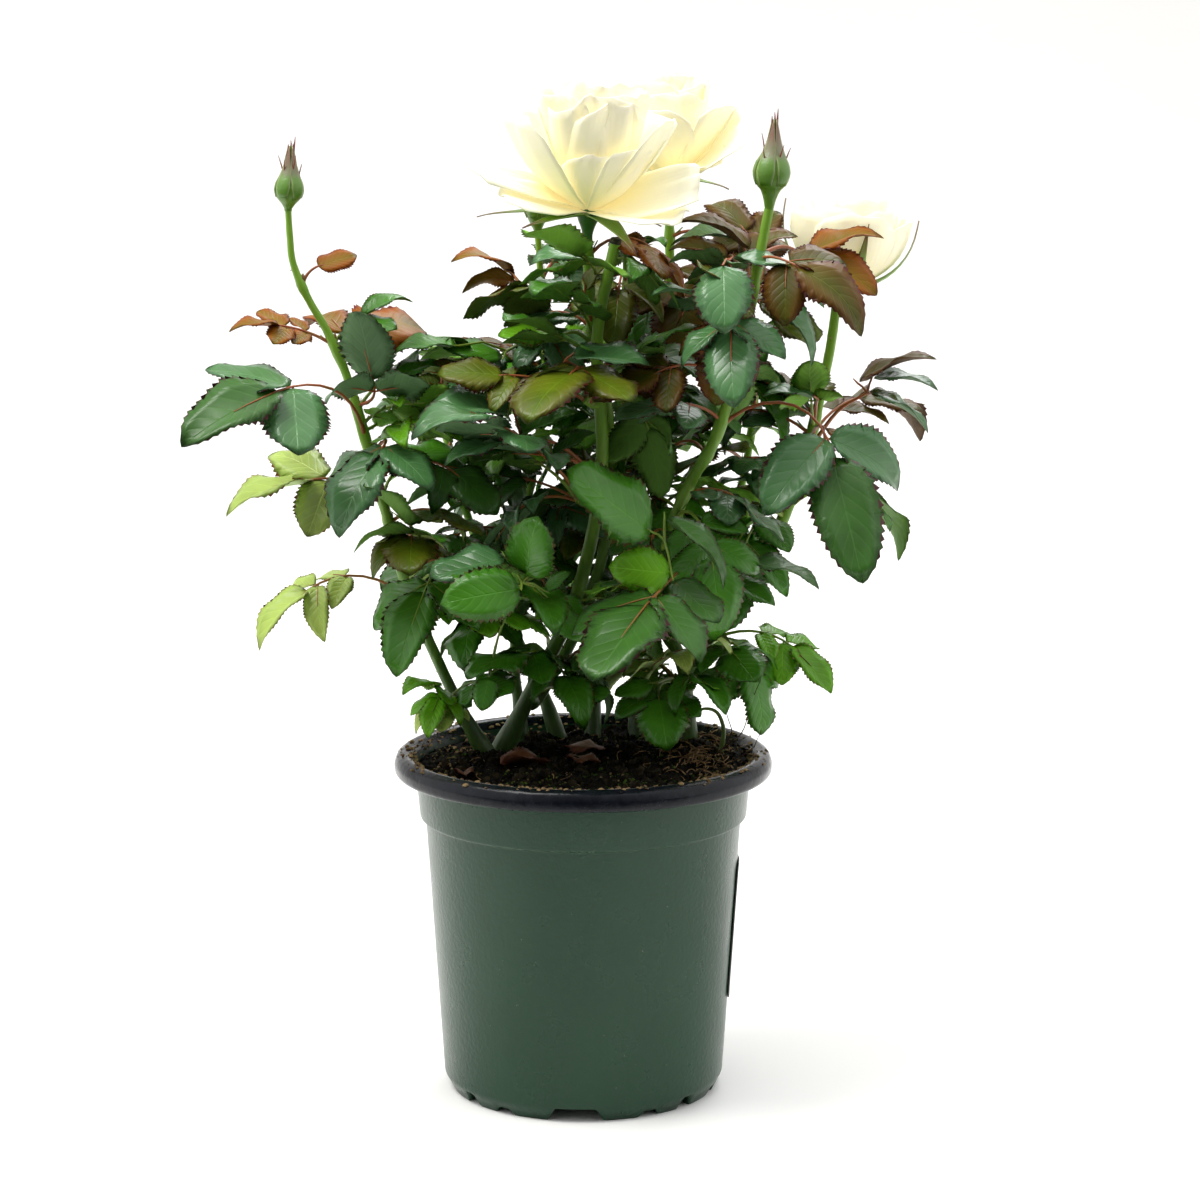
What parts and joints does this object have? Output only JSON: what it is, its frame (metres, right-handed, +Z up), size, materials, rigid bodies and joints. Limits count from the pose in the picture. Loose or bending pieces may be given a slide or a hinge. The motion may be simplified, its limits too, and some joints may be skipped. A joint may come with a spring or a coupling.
{
  "type": "potted rose bush",
  "caption": "Bushy young rose with white blooms, buds and toothed compound leaves on green canes, in a round dark green nursery pot of potting mix.",
  "frame": {"origin": "on the pot's axis at the floor; the plant's reach is balanced round it, so it is also the middle of the bounding box at its foot", "axes": "+Z up along the pot's axis, -Y is the front the plant is seen from, +X is to the right of the front view"},
  "size_m": [0.3201, 0.2271, 0.4412],
  "materials": {
    "pot": "satin dark green, black at the rolled lip",
    "soil": "dark crumbly potting mix",
    "label": "plain blank label",
    "cane": "smooth green bark with a few small prickles",
    "foliage": "satin deep green, bronze on young leaves",
    "bloom": "soft ivory white petals",
    "bud": "mid green sepals with red feathery tips"
  },
  "bodies": {
    "root": {"bloom_front": "bloom", "bloom_half": "bloom", "bloom_rear": "bloom", "bud_left": "bud", "bud_rear": "bud", "bud_right": "bud", "cane_back_left": "cane", "cane_back_right": "cane", "cane_bloom": "cane", "cane_bud": "cane", "cane_cut": "cane", "cane_half": "cane", "cane_left": "cane", "cane_rear": "cane", "cane_right": "cane", "cane_tall": "cane", "foliage_back_left": "foliage", "foliage_back_right": "foliage", "foliage_bloom": "foliage", "foliage_bud": "foliage", "foliage_front": "foliage", "foliage_half": "foliage", "foliage_left": "foliage", "foliage_low_front": "foliage", "foliage_low_left": "foliage", "foliage_low_middle": "foliage", "foliage_low_rear": "foliage", "foliage_low_right": "foliage", "foliage_middle": "foliage", "foliage_rear": "foliage", "foliage_right": "foliage", "foliage_tall": "foliage", "foliage_top": "foliage", "label": "label", "pot": "pot", "soil": "soil"}
  },
  "joints": []
}
